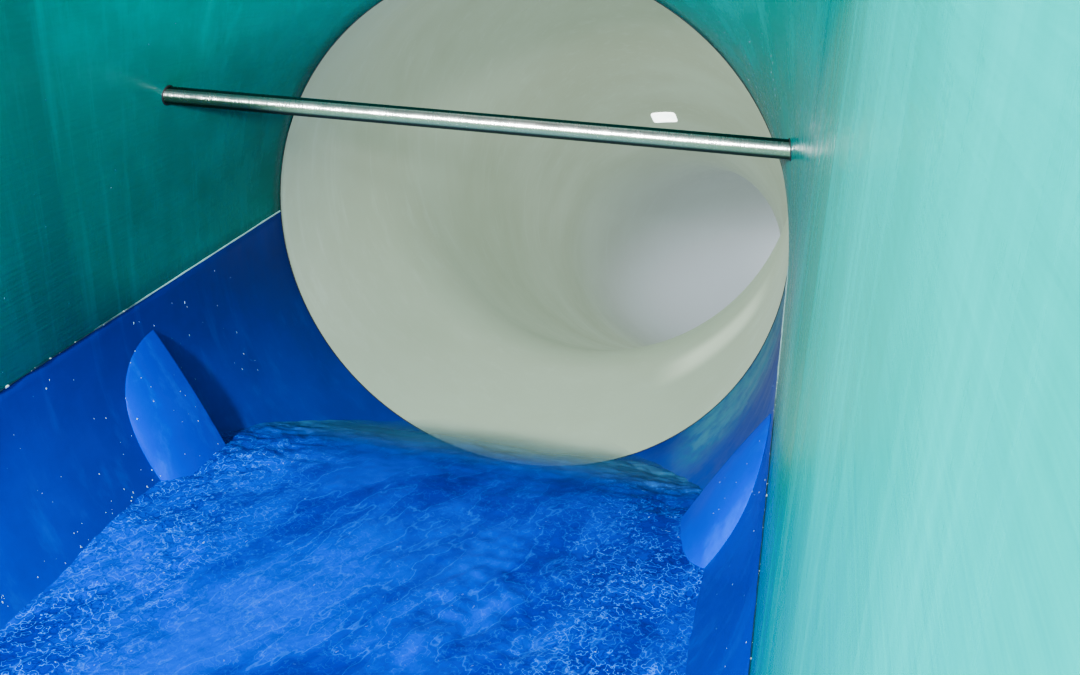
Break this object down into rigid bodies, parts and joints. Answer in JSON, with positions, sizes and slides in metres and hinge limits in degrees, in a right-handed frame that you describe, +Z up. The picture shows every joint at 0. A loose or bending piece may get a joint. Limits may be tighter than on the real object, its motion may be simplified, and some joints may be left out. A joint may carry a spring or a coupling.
{
  "type": "water slide start unit",
  "caption": "Closed-tube water slide start: half-pipe tub with hood, grab bar and water inlets, dropping into a round tube that turns right, on a steel stand.",
  "frame": {"origin": "centre of the underside of the foot of the first tube column, on the floor", "axes": "+Z up, +Y down the slide from the tub to the tube, +X to the rider's right"},
  "size_m": [2.6694, 9.2787, 3.845],
  "materials": {
    "pale_grp": "glossy pale grey laminate, wet",
    "blue_grp": "glossy blue laminate, wet",
    "teal_grp": "glossy teal laminate",
    "stainless": "polished stainless tube",
    "galvanised": "galvanised steel, dull grey",
    "rubber": "black rubber",
    "grey_plastic": "grey pipe plastic"
  },
  "bodies": {
    "root": {"start_tub_shell": "blue_grp", "tub_end_wall": "blue_grp", "left_inlet_scoop": "blue_grp", "right_inlet_scoop": "blue_grp", "left_hood_half": "teal_grp", "right_hood_half": "teal_grp", "tube_drop_section": "pale_grp", "tube_slope_section_1": "pale_grp", "tube_slope_section_2": "pale_grp", "tube_bend_section_1": "pale_grp", "tube_bend_section_2": "pale_grp", "left_inlet_pipe": "grey_plastic", "right_inlet_pipe": "grey_plastic", "grab_bar": "stainless", "left_bar_plate": "stainless", "right_bar_plate": "stainless", "left_bar_gasket": "rubber", "right_bar_gasket": "rubber", "rear_left_column": "galvanised", "rear_right_column": "galvanised", "rear_cross_beam": "galvanised", "rear_cradle": "galvanised", "rear_brace_a": "galvanised", "rear_brace_b": "galvanised", "front_left_column": "galvanised", "front_right_column": "galvanised", "front_cross_beam": "galvanised", "front_cradle": "galvanised", "front_brace_a": "galvanised", "front_brace_b": "galvanised", "left_side_tie": "galvanised", "right_side_tie": "galvanised", "mouth_cradle": "galvanised", "mouth_column": "galvanised", "slope_cradle": "galvanised", "slope_column": "galvanised", "outlet_cradle": "galvanised", "outlet_column": "galvanised"}
  },
  "joints": []
}
